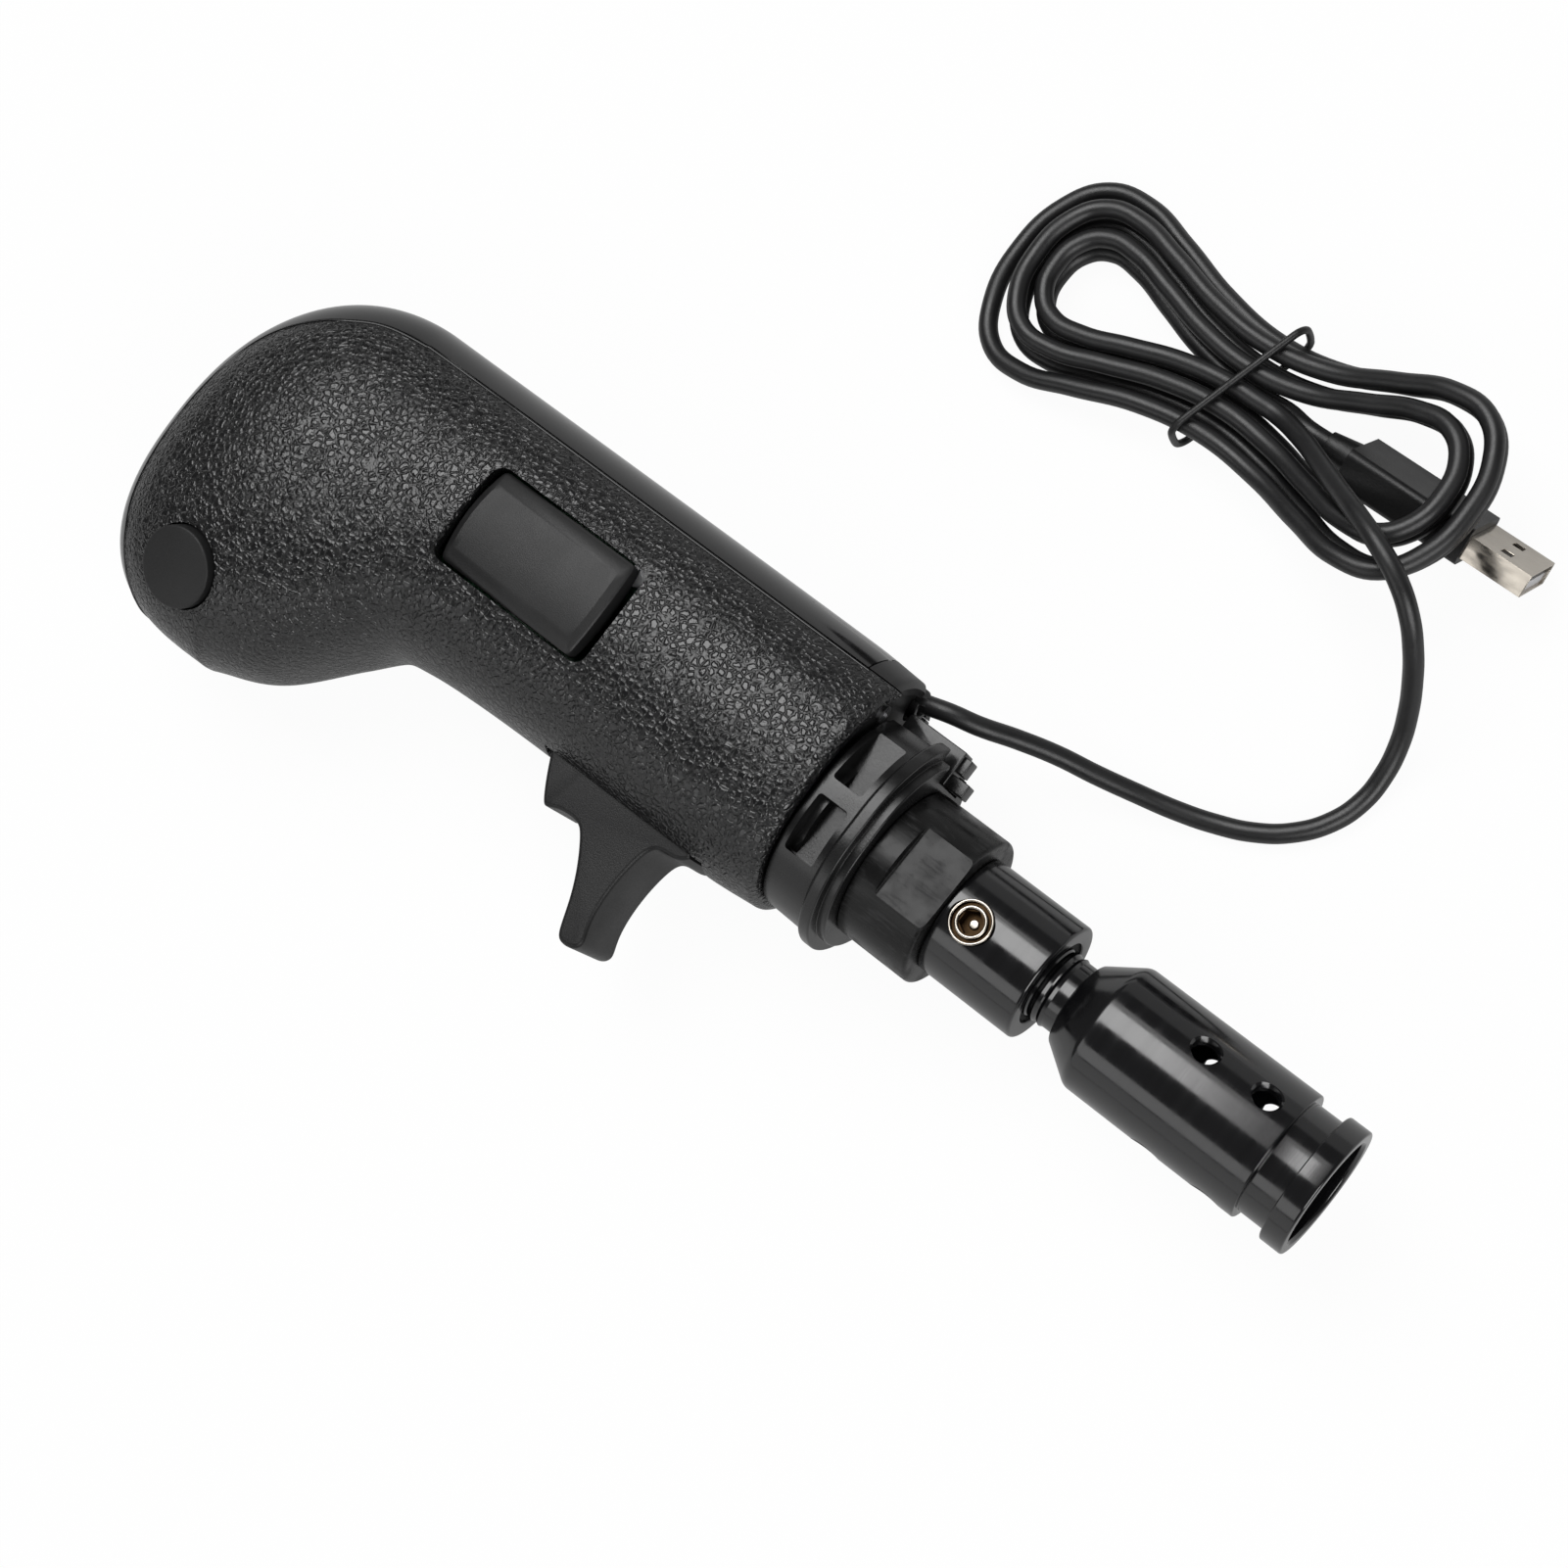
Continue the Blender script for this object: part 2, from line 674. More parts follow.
def thread_cutter(turn, h):
    """A tapped hole with a chamfered mouth."""
    ridges = []
    out = HOLE_START
    while out < HOLE_RIDGES_END:
        ridges += [(CLAMP_R, out), (CLAMP_R + THREAD, out + CLAMP_PITCH / 2)]
        out += CLAMP_PITCH
    profile = [(0, HOLE_START), *ridges, (CLAMP_R, HOLE_MOUTH), (HOLE_MOUTH_R, HOLE_END), (0, HOLE_END)]
    return turned("thread", profile, outward(turn, h), 40)


def make_adapter():
    thread = []
    for ridge in STUD_RIDGES:
        thread += [(NECK_R, ridge - RIDGE_HALF), (STUD_R, ridge), (NECK_R, ridge + RIDGE_HALF)]
    profile = rounded([
        (0, BORE_DEPTH), (BORE_R, BORE_DEPTH), (BORE_R, BORE_CHAMFER, 0.2), (BORE_R + BORE_CHAMFER, 0, 0.2),
        (ADAPTER_R, 0, 0.5), (ADAPTER_R, FLANGE_L, 0.4), (GROOVE_R, FLANGE_L, 0.25),
        (GROOVE_R, BODY_Z, 0.25), (ADAPTER_R, BODY_Z, 0.4), (ADAPTER_R, CONE_Z, 0.9),
        (CONE_END_R, NECK_Z, 0.4), (NECK_R, NECK_Z + 0.3, 0.2), *thread, (NECK_R, BARREL_Z),
        (STUD_R, BARREL_Z + 0.3), (STUD_R, STUD_TOP, 0.5), (0, STUD_TOP)])
    mesh = turned("adapter", profile, standing)
    for h in CLAMP_ROWS:
        for turn in CLAMP_TURNS:
            mesh = cut(mesh, thread_cutter(turn, h))
    put("lever_adapter", shade(mesh), ANODISED, "grip", "anodised_black", "adapter")


# Barrel and set screw
MOUTH_R = 8.4
MOUTH_L = 1.2
STUD_BORE_TOP = STUD_TOP + 0.5
BARREL_PLAY = 0.05
SPIGOT_R = 9.5
SPIGOT_TOP = GRIP_Z + 4
SCREW_R = 4
SCREW_H = BARREL_Z + 14.7
SCREW_TOP = BARREL_R + 0.4
SCREW_BOTTOM = STUD_R + 0.3
HEX = 4
HEX_DEPTH = 3.2
MARK_R = 0.9
MARK_RISE = 0.4
MARK_ROOT = 0.2
# The set screw's face from its rim inwards: radius, depth and, where it is rounded, reach
SCREW_FACE = [(SCREW_R, 0, 0.4), (3.55, 0, 0.25), (3.5, 1), (3, 1), (2.9, 0.1, 0.3), (2.35, 0.1, 0.25),
              (2.3, 0.8), (0, 0.8)]
DARK_DEPTH = 0.5
DARK_R = 3.6
SEAT_FLOOR = STUD_R + 0.25
SEAT_R = SCREW_R + 0.1
SEAT_MOUTH_R = SCREW_R + 0.7
SEAT_CHAMFER = 0.3
SEAT_END = BARREL_R + 2


def make_barrel():
    bore_r = STUD_R + BARREL_PLAY
    top = NUT_Z - BARREL_PLAY
    profile = rounded([
        (0, STUD_BORE_TOP), (bore_r, STUD_BORE_TOP), (bore_r, BARREL_Z + MOUTH_L),
        (MOUTH_R, BARREL_Z + MOUTH_L), (MOUTH_R, BARREL_Z, 0.3), (BARREL_R, BARREL_Z, 0.7),
        (BARREL_R, top, 0.5), (SPIGOT_R, top), (SPIGOT_R, SPIGOT_TOP, 0.4), (0, SPIGOT_TOP)])
    mesh = turned("barrel", profile, standing)
    seat = [(0, SEAT_FLOOR), (SEAT_R, SEAT_FLOOR), (SEAT_R, BARREL_R - SEAT_CHAMFER),
            (SEAT_MOUTH_R, BARREL_R + SEAT_CHAMFER), (SEAT_MOUTH_R, SEAT_END), (0, SEAT_END)]
    mesh = cut(mesh, turned("seat", seat, outward(0, SCREW_H), 96))
    put("metal_barrel", shade(mesh), ANODISED, "grip", "anodised_black", "barrel")


def make_set_screw():
    """Nickel rim, a dark groove, an inner ring and a dark hexagon socket with a bright centre mark."""
    place = outward(0, SCREW_H)
    face = [(r, SCREW_TOP - depth, *reach) for r, depth, *reach in SCREW_FACE]
    profile = rounded([(0, SCREW_BOTTOM), (SCREW_R, SCREW_BOTTOM), *face])
    mesh = turned("screw", profile, place, 96)
    socket_floor = SCREW_TOP - HEX_DEPTH
    mesh = cut(mesh, prism("hexagon", circle(HEX / math.sqrt(3), 6), socket_floor, SCREW_TOP + 1, place))
    mark_low = socket_floor - MARK_ROOT
    mark_top = socket_floor + MARK_RISE
    mark_profile = rounded([(0, mark_low), (MARK_R, mark_low), (MARK_R, mark_top, 0.3), (0, mark_top)])
    mark = turned("mark", mark_profile, place, 32)
    turned_faces = len(mesh.polygons)
    whole = shade(joined("screw", mesh, mark))
    screw = put("set_screw", whole, NICKEL, "grip", "nickel", "barrel_set_screw")
    screw.data.materials.append(BRASS)
    axis = Vector(place(0, 0, 0)[:2])
    for side in screw.data.polygons[:turned_faces]:
        deep = side.center.z < (SCREW_TOP - DARK_DEPTH) * MM
        inner = (Vector(side.center[:2]) - axis).length < DARK_R * MM
        side.material_index = int(deep and inner)


# Nut
NUT_FLAT_R = 13.1
NUT_FLAT_L = 10.6
NUT_TURNS = (5, 185)
NUT_STEP_LEAN = 0.35
NUT_FOOT_R = BARREL_R + 0.6
NUT_PLAY = 0.1
NUT_BOSS_R = 11.2
NUT_BOSS_TOP = COLLAR_Z + 7


def nut_flat(turn):
    """A wrench flat's cutter, round where the flat meets its step."""
    place = outward(turn, NUT_Z)
    far = NUT_R + 3
    outline = rounded([(-2, NUT_FLAT_R), (NUT_FLAT_L, NUT_FLAT_R, 1.3), (NUT_FLAT_L, NUT_R - 0.5),
                       (NUT_FLAT_L + NUT_STEP_LEAN, far), (-2, far)])
    return prism("flat", outline, -far, far, lambda b, out, a: place(a, b, out))


def make_nut():
    bore_r = SPIGOT_R + NUT_PLAY
    top = COLLAR_Z - NUT_PLAY
    profile = rounded([
        (bore_r, NUT_Z), (NUT_FOOT_R, NUT_Z), (NUT_R, NUT_Z, 0.9), (NUT_R, top, 0.5), (NUT_BOSS_R, top),
        (NUT_BOSS_R, NUT_BOSS_TOP), (bore_r, NUT_BOSS_TOP)])
    mesh = turned("nut", profile, standing)
    for turn in NUT_TURNS:
        mesh = cut(mesh, nut_flat(turn))
    put("plastic_nut", shade(mesh), NUT, "grip", "nut_plastic", "clamp_nut")


# Lock collar and its tab
COLLAR_BACK = 3.4
COLLAR_FORE = 1
COLLAR_R = 17.8
COLLAR_STEP_R = COLLAR_R - 0.55
COLLAR_FLANGE_R = 19.5
COLLAR_NECK_R = 15
FLANGE_LOW_Z = COLLAR_Z + 1.8
FLANGE_TOP_Z = FLANGE_LOW_Z + 2.5
COLLAR_TOP_Z = GRIP_Z - 0.25
POCKET_SPANS = ((-16.5, -5.6), (-1.9, 9))
POCKET_LOW = COLLAR_Z + 6.1
POCKET_TOP = POCKET_LOW + 6.1
POCKET_FLOOR = 12.2
NOTCH_F = 2.6 - COLLAR_R - COLLAR_BACK
NOTCH_HALF = 6.9
FOOT_NOTCH_F = -NUT_R - 0.7
OVAL_STEPS = 144
COLLAR_CORE_R = SPIGOT_R - 1
COLLAR_BORE_R = SPIGOT_R + 0.05
COLLAR_SEAT_R = NUT_BOSS_R + 0.05
NECK_LOW = GRIP_Z - 3
NECK_TOP = GRIP_Z + 4
TAB_HALF = 2.5
TAB_DEPTH = 4.4
TAB_PLAY = 0.05
TAB_EDGE = 0.3
TOOTH_ROOT = 0.7
OUTER_TOOTH = 1.5
INNER_TOOTH = 3.7


def oval(r):
    """Two half circles set apart, front to back."""
    points = []
    for a in angles(OVAL_STEPS):
        middle = COLLAR_FORE if math.cos(a) > 0 else -COLLAR_BACK
        points.append((middle + r * math.cos(a), r * math.sin(a)))
    return points


def oval_stack(name, profile):
    """Ovals of the profile's radii at its heights, closed at both ends."""
    verts = [standing(f, l, h) for r, h in profile for f, l in oval(r)]
    return mesh_of(name, verts, skin_faces(len(profile), OVAL_STEPS))


def pocket_cutter(span, side):
    middle = (span[0] + span[1]) / 2
    outline = [(middle + f, (POCKET_LOW + POCKET_TOP) / 2 + h)
               for f, h in round_rect(span[1] - span[0], POCKET_TOP - POCKET_LOW, 0.5, 4)]
    far = COLLAR_FLANGE_R + 2
    flare = inset_line(outline, -0.3)
    return prism("pocket", outline, side * POCKET_FLOOR, side * far, beside, flare)


def make_collar():
    profile = rounded([
        (COLLAR_CORE_R, COLLAR_Z), (COLLAR_STEP_R, COLLAR_Z, 0.4), (COLLAR_STEP_R, FLANGE_LOW_Z, 0.15),
        (COLLAR_FLANGE_R, FLANGE_LOW_Z, 0.4), (COLLAR_FLANGE_R, FLANGE_TOP_Z, 0.7),
        (COLLAR_R + 0.3, FLANGE_TOP_Z + 0.2, 0.4), (COLLAR_R, COLLAR_TOP_Z, 0.5),
        (COLLAR_CORE_R, COLLAR_TOP_Z)])
    mesh = oval_stack("collar", profile)
    below = COLLAR_Z - 1
    above = GRIP_Z + 1
    hole = [(0, below), (COLLAR_SEAT_R, below), (COLLAR_SEAT_R, NUT_BOSS_TOP),
            (COLLAR_BORE_R, NUT_BOSS_TOP), (COLLAR_BORE_R, above), (0, above)]
    mesh = cut(mesh, turned("hole", hole, standing))
    for span in POCKET_SPANS:
        for side in (-1, 1):
            mesh = cut(mesh, pocket_cutter(span, side))
    far = 2 * COLLAR_FLANGE_R
    for name, front, top in (("notch", NOTCH_F, above), ("foot_notch", FOOT_NOTCH_F, FLANGE_LOW_Z)):
        mesh = cut(mesh, box_mesh(name, (-far, below, -NOTCH_HALF), (front, top, NOTCH_HALF), beside))
    neck = turned("neck", [(COLLAR_BORE_R, NECK_LOW), (COLLAR_NECK_R, NECK_LOW),
                           (COLLAR_NECK_R, NECK_TOP), (COLLAR_BORE_R, NECK_TOP)], standing)
    put("collar", shade(joined("collar", mesh, neck)), COLLAR, "grip", "collar_plastic", "lock_collar")


def make_tab():
    """A stepped plate with an outer and an inner tooth below it."""
    back = NOTCH_F - TAB_DEPTH
    front = NOTCH_F - TAB_PLAY
    foot_f = FOOT_NOTCH_F - 0.3
    foot_z = COLLAR_Z + 0.4
    flange_z = FLANGE_LOW_Z - TAB_PLAY
    top_z = GRIP_Z - 0.9
    plate = rounded([
        (back, foot_z, 0.4), (foot_f, foot_z, 0.3), (foot_f, flange_z, 0.2), (front, flange_z, 0.1),
        (front, top_z, 0.3), (back, top_z, 0.8)])
    pieces = [soft_prism("plate", plate, -TAB_HALF, TAB_HALF, TAB_EDGE, beside)]
    root = foot_z + TOOTH_ROOT
    for rear, fore, length in ((back + 0.6, back + 3.8, OUTER_TOOTH), (foot_f - 2.7, foot_f, INNER_TOOTH)):
        tip = foot_z - length
        outline = rounded([(rear, tip, 0.3), (fore, tip, 0.3), (fore, root), (rear, root)])
        pieces.append(soft_prism("tooth", outline, -TAB_HALF, TAB_HALF - 1, TAB_EDGE, beside))
    put("tab", shade(joined("tab", *pieces)), COLLAR, "grip", "collar_plastic", "lock_tab")


# Grip outline, in millimetres above the grip's lower edge
GRIP_H = 152
GRIP_HALF_W = 22.5
STEM_FRONT = 22
STEM_BACK = 29
HEAD_FRONT = 49.6
NECK_U = 87
HEAD_U = 117
HEAD_TOP_F = 16
SECTION_POWER = 2.3
DOME_POWER = 2.5
DOME_END = 0.99995
HEAD_LEAN_POWER = 1.5
EDGE_ROUND = 1.2
WALL = 2.5
NECK_F = STEM_FRONT + 4.4
HEAD_RISE = HEAD_U - NECK_U
STEM_TOP = NECK_U - 12
HEAD_RUN = HEAD_FRONT - NECK_F
FRONT_ROWS = [
    (0, STEM_FRONT - 1.2), (12, STEM_FRONT), (50, STEM_FRONT + 0.6), (67, STEM_FRONT + 1.2),
    (NECK_U - 7, STEM_FRONT + 2.4), (NECK_U, NECK_F), (NECK_U + 0.24 * HEAD_RISE, NECK_F + 0.3 * HEAD_RUN),
    (NECK_U + 0.6 * HEAD_RISE, NECK_F + 0.77 * HEAD_RUN), (HEAD_U, HEAD_FRONT)]
BACK_ROWS = [(0, -STEM_BACK + 0.6), (12, -STEM_BACK), (HEAD_U, -STEM_BACK)]
WIDTH_ROWS = [(0, GRIP_HALF_W - 1.4), (12, GRIP_HALF_W - 0.8), (50, GRIP_HALF_W - 0.5),
              (90, GRIP_HALF_W - 0.3), (HEAD_U, GRIP_HALF_W)]


def section_sizes(u, inset):
    """Middle, half-length and half-width of the grip's section."""
    v = min(1.0, max(0.0, (u - HEAD_U) / (GRIP_H - inset - HEAD_U)))
    dome = (1 - v ** DOME_POWER) ** (1 / DOME_POWER)
    level = max(0, min(u, HEAD_U))
    front = curve_at(FRONT_ROWS, level)
    back = curve_at(BACK_ROWS, level)
    low = 0 if inset > 0 else EDGE_ROUND * max(0, 1 - max(u, 0) / EDGE_ROUND) ** 2
    head_mid = (HEAD_FRONT - STEM_BACK) / 2
    mid = (front + back) / 2 + (HEAD_TOP_F - head_mid) * v ** HEAD_LEAN_POWER
    half_f = ((front - back) / 2 - inset - low) * dome
    half_w = (curve_at(WIDTH_ROWS, level) - inset - low) * dome
    return mid, half_f, half_w


def signed_power(x):
    return math.copysign(abs(x) ** (2 / SECTION_POWER), x)


def grip_loft(name, inset, low_heights, stem_steps, head_steps, dome_steps, n):
    """The grip's body through sections of n points, drawn in by an inset."""
    heights = list(low_heights)
    first = heights[-1]
    heights += [first + (STEM_TOP - first) * (k + 1) / stem_steps for k in range(stem_steps)]
    heights += [STEM_TOP + (HEAD_U - STEM_TOP) * (k + 1) / head_steps for k in range(head_steps)]
    top = GRIP_H - inset - HEAD_U
    heights += [HEAD_U + top * min(math.sin(math.pi / 2 * (k + 1) / dome_steps), DOME_END)
                for k in range(dome_steps)]
    verts = []
    for u in heights:
        mid, half_f, half_w = section_sizes(u, inset)
        for a in angles(n):
            verts.append(across_grip(mid + half_f * signed_power(math.cos(a)), u,
                                     half_w * signed_power(math.sin(a))))
    return mesh_of(name, verts, skin_faces(len(heights), n))


def grip_outer():
    return grip_loft("outer", 0, (0, 0.15, 0.35, 0.6, 0.9, 1.2, 2, 4), 40, 60, 44, 192)


def grip_inner():
    return grip_loft("inner", WALL, (-2, 0), 24, 30, 20, 96)


def side_y(u, f):
    """How far left the grip's surface lies at a height and a front."""
    mid, half_f, half_w = section_sizes(u, 0)
    share = min(1.0, abs((f - mid) / half_f))
    return half_w * (1 - share ** SECTION_POWER) ** (1 / SECTION_POWER)


# Seam of the rear cover, in front and height
COVER_DEPTH = 5
SEAM = 0.25
SEAM_F = COVER_DEPTH - STEM_BACK
SEAM_TOP = GRIP_H - COVER_DEPTH - 0.5
SEAM_STEPS = 6
BELOW_GRIP = -5
SEAM_LINE = [
    (SEAM_F, BELOW_GRIP), (SEAM_F, 40), (SEAM_F, HEAD_U - 12), (SEAM_F + 0.4, HEAD_U - 2),
    (SEAM_F + 2, HEAD_U + 6.5), (SEAM_F + 5.4, HEAD_U + 13), (SEAM_F + 9.3, GRIP_H - 16.4),
    (SEAM_F + 15, GRIP_H - 11), (SEAM_F + 21, GRIP_H - 8), (HEAD_TOP_F - 11, GRIP_H - 6.3),
    (HEAD_TOP_F - 3, SEAM_TOP), (HEAD_TOP_F + 8, SEAM_TOP - 0.5), (HEAD_TOP_F + 16, GRIP_H - 7.4),
    (HEAD_FRONT - 12, GRIP_H - 10), (HEAD_FRONT - 7.6, GRIP_H - 12.4), (HEAD_FRONT - 2, GRIP_H - 17),
    (HEAD_FRONT + 6, GRIP_H - 26)]
FAR = 100
BEAD_R = 0.3
BEAD_SINK = 0.6 * BEAD_R
BEAD_END = 0.995


def seam_points(inset):
    """The seam's line, moved back by an inset."""
    line = spline(SEAM_LINE, SEAM_STEPS)
    moved = []
    for i, p in enumerate(line):
        a = line[max(i - 1, 0)]
        b = line[min(i + 1, len(line) - 1)]
        along = Vector((b[0] - a[0], b[1] - a[1])).normalized()
        moved.append((p[0] - along.y * inset, p[1] + along.x * inset))
    return moved


def behind_seam(inset):
    """Everything behind the seam, moved back from it by an inset."""
    moved = seam_points(inset)
    moved += [(FAR, moved[-1][1]), (FAR, GRIP_H + FAR), (-FAR, GRIP_H + FAR), (-FAR, BELOW_GRIP)]
    return prism("behind_seam", moved, -FAR, FAR, across_grip)


def seam_bead():
    """The grip's rolled edge along the seam, down both sides."""
    half = []
    for f, u in seam_points(-BEAD_R):
        mid, half_f, _ = section_sizes(u, 0)
        if u > EDGE_ROUND and abs(f - mid) < BEAD_END * half_f:
            half.append((f, u, side_y(u, f) - BEAD_SINK))
    line = half + [(f, u, -l) for f, u, l in reversed(half)]
    return evaluated(tube_curve("bead", [across_grip(*p) / MM for p in line], BEAD_R))


# Controls on the grip
ROCKER_L = 34.6
ROCKER_W = 19.6
ROCKER_U = 65
ROCKER_F = -4
ROCKER_GAP = 1
ROCKER_SIDE_GAP = 0.5
ROCKER_CORNER = 2.4
OPENING_CORNER = 2.5
OPENING_SPAN = (5, GRIP_HALF_W + 5)
ROCKER_LIP = 0.7
ROCKER_BOW = 0.9
# The pad's rim: inset from its outline, and drop below its top
ROCKER_RIM = [(0, 1.6), (0.08, 1.25), (0.3, 0.98), (0.6, 0.82), (1.7, 0.28)]
ROCKER_CROWN = 45
ROCKER_TILT = math.radians(4.5)
AXLE_DEPTH = 7.5
AXLE_Y = side_y(ROCKER_U, ROCKER_F) - AXLE_DEPTH
PAD_LOW = AXLE_DEPTH - 3.3
PAD_HIGH = AXLE_DEPTH + 1.2
PAD_RINGS = 12
PAD_ROOT = PAD_LOW + 0.5
EAR_F = ROCKER_W / 2 - 3.2
EAR_HALF = 2.6
EAR_HALF_W = 1.1
LEG_U = 12
LEG_HALF_L = 1.5
LEG_HALF_W = 2
LEG_LOW = -5
BUTTON_R = 7.8
BUTTON_U = HEAD_U + 7.5
BUTTON_F = HEAD_FRONT - 13
BUTTON_TURN = math.radians(24)
BUTTON_GAP = 0.35
BUTTON_PROUD = 2
BUTTON_DOME = 40
DOME_RINGS = 10
BUTTON_EDGE = 0.9
BUTTON_BORE = 8
BUTTON_LIP = (-0.6, 1.4)
BUTTON_LIP_FLARE = 1.0
BUTTON_FLANGE = -7.4
BUTTON_FLANGE_TOP = BUTTON_FLANGE + 1.2
BUTTON_FLANGE_R = BUTTON_R + 1
BUTTON_STEM_R = 2
BUTTON_FOOT = -9.9
BUTTON_Y = side_y(BUTTON_U, BUTTON_F)
BUTTON_OUT = Vector((math.sin(BUTTON_TURN), math.cos(BUTTON_TURN)))
TRIGGER_W = 17
TRIGGER_U = 33
TRIGGER_PLAY = 0.6
TRIGGER_EDGE = 0.8
PIVOT_F = STEM_FRONT - 19
HUB_R = 4.8
ARM_L = 8
ARM_HALF_L = 0.8
ARM_HALF_W = 3
SLOT_REACH = 10
SLOT_BELOW = 22.2
SLOT_ABOVE = 15.2


def on_side(f, u, l):
    """Points drawn about the rocker's middle."""
    return across_grip(ROCKER_F + f, ROCKER_U + u, l)


def at_axle(f, u, l):
    """Points drawn about the rocker's axle, tilted as it rests."""
    c = math.cos(ROCKER_TILT)
    s = math.sin(ROCKER_TILT)
    return on_side(f, l * s + u * c, AXLE_Y + l * c - u * s)


def at_button(a, b, depth):
    """Points drawn about the button's axis: a across it, b up the grip, depth outwards."""
    f = BUTTON_F + a * BUTTON_OUT.y + depth * BUTTON_OUT.x
    l = BUTTON_Y - a * BUTTON_OUT.x + depth * BUTTON_OUT.y
    return across_grip(f, BUTTON_U + b, l)


def make_grip():
    mesh = cut(grip_outer(), grip_inner())
    mesh = cut(mesh, behind_seam(0))
    opening = round_rect(ROCKER_W + 2 * ROCKER_SIDE_GAP, ROCKER_L + 2 * ROCKER_GAP, OPENING_CORNER)
    surface = AXLE_Y + AXLE_DEPTH
    mesh = cut(mesh, prism("rocker_opening", opening, *OPENING_SPAN, on_side))
    flare = inset_line(opening, -ROCKER_LIP)
    lip = prism("rocker_lip", opening, surface - ROCKER_LIP, surface + ROCKER_LIP, on_side, flare)
    mesh = cut(mesh, lip)
    hole = circle(BUTTON_R + BUTTON_GAP)
    mesh = cut(mesh, prism("button_opening", hole, -BUTTON_BORE, BUTTON_BORE, at_button))
    mesh = cut(mesh, prism("button_lip", hole, *BUTTON_LIP, at_button, inset_line(hole, -BUTTON_LIP_FLARE)))
    half = TRIGGER_W / 2 + TRIGGER_PLAY
    mesh = cut(mesh, box_mesh("trigger_slot", (STEM_FRONT - SLOT_REACH, TRIGGER_U - SLOT_BELOW, -half),
                              (STEM_FRONT + SLOT_REACH, TRIGGER_U + SLOT_ABOVE, half), across_grip))
    grained = len(mesh.polygons)
    whole = shade(joined("grip", mesh, seam_bead()))
    grip = put("grip", whole, LEATHER, "grip", "grained_grip", "grip_shell")
    grip.data.materials.append(GLOSS)
    for face in grip.data.polygons[grained:]:
        face.material_index = 1


END_BAND_L = 6.6
SLIT_Y = 6.2
SLIT_W = 1.6
SLIT_L = 18
SLIT_TAPER = 6
EXIT_HALF = CABLE_D / 2 + 0.55
EXIT_HIGH = 5.6
EXIT_CORNER = 1.6


def make_back():
    shell = cut(cut(grip_outer(), grip_inner()), behind_seam(SEAM), "INTERSECT")
    spare = shell.copy()
    low = (-FAR, BELOW_GRIP, -FAR)
    cover = cut(shell, box_mesh("below_cover", low, (0, END_BAND_L, FAR), across_grip))
    top = END_BAND_L + SLIT_L
    taper = top - SLIT_TAPER
    slit = [(0, SLIT_Y), (0, SLIT_Y + SLIT_W), (taper, SLIT_Y + SLIT_W), (top, SLIT_Y + 0.75 * SLIT_W),
            (top, SLIT_Y + 0.5 * SLIT_W), (taper, SLIT_Y)]
    cover = cut(cover, prism("slit", slit, -FAR, 0, lambda u, l, f: across_grip(f, u, l)))
    put("back_cover", shade(cover), GLOSS, "grip", "gloss_cover", "rear_cover")
    foot = box_mesh("band", low, (0, END_BAND_L - SEAM, FAR), across_grip)
    end = cut(spare, foot, "INTERSECT")
    way = [(EXIT_L + l, u) for l, u in round_rect(2 * EXIT_HALF, 2 * EXIT_HIGH, EXIT_CORNER)]
    end = cut(end, prism("exit", way, -FAR, 0, lambda l, u, f: across_grip(f, u, l)))
    put("back_band", shade(end), MATTE, "grip", "matte_black", "rear_end_band")


def rocker_outline():
    """A rectangle with bowed ends and round corners."""
    half_w = ROCKER_W / 2
    half_l = ROCKER_L / 2
    shares = [k / 4 for k in range(4, -5, -1)]
    ends = []
    for side in (1, -1):
        end = [(half_w * f, half_l - ROCKER_BOW * f * f) for f in shares]
        ends += [(side * f, side * u) for f, u in end]
    return rounded([(*p, ROCKER_CORNER) if abs(p[0]) == half_w else p for p in ends], 8)


def rocker_pad():
    """The pad: straight sides, a sloped rim and a top that is crowned across its width."""
    outline = rocker_outline()
    layers = [[(f, u, PAD_LOW) for f, u in outline]]
    for inset, drop in ROCKER_RIM:
        ring = inset_line(outline, inset)
        layers.append([(f, u, PAD_HIGH - f * f / (2 * ROCKER_CROWN) - drop) for f, u in ring])
    rim = layers[-1]
    for k in range(1, PAD_RINGS):
        share = 1 - k / PAD_RINGS
        layers.append([(f * share, u * share, l + (f * f - (f * share) ** 2) / (2 * ROCKER_CROWN))
                       for f, u, l in rim])
    verts = [at_axle(*p) for layer in layers for p in layer]
    return mesh_of("pad", verts, skin_faces(len(layers), len(outline)))


def make_rocker():
    pieces = [rocker_pad()]
    for side in (-1, 1):
        ear = side * EAR_F
        outline = rounded([(-EAR_HALF, -EAR_HALF, 1.5), (EAR_HALF, -EAR_HALF, 1.5), (EAR_HALF, PAD_ROOT),
                           (-EAR_HALF, PAD_ROOT)])
        pieces.append(soft_prism("ear", outline, ear - EAR_HALF_W, ear + EAR_HALF_W, 0.2,
                                 lambda u, l, f: at_axle(f, u, l)))
        leg = side * LEG_U
        pieces.append(box_mesh("leg", (-LEG_HALF_W, leg - LEG_HALF_L, LEG_LOW),
                               (LEG_HALF_W, leg + LEG_HALF_L, PAD_ROOT), at_axle))
    put("rocker_pad", shade(joined("rocker", *pieces)), SATIN, "rocker", "matte_black", "rocker")


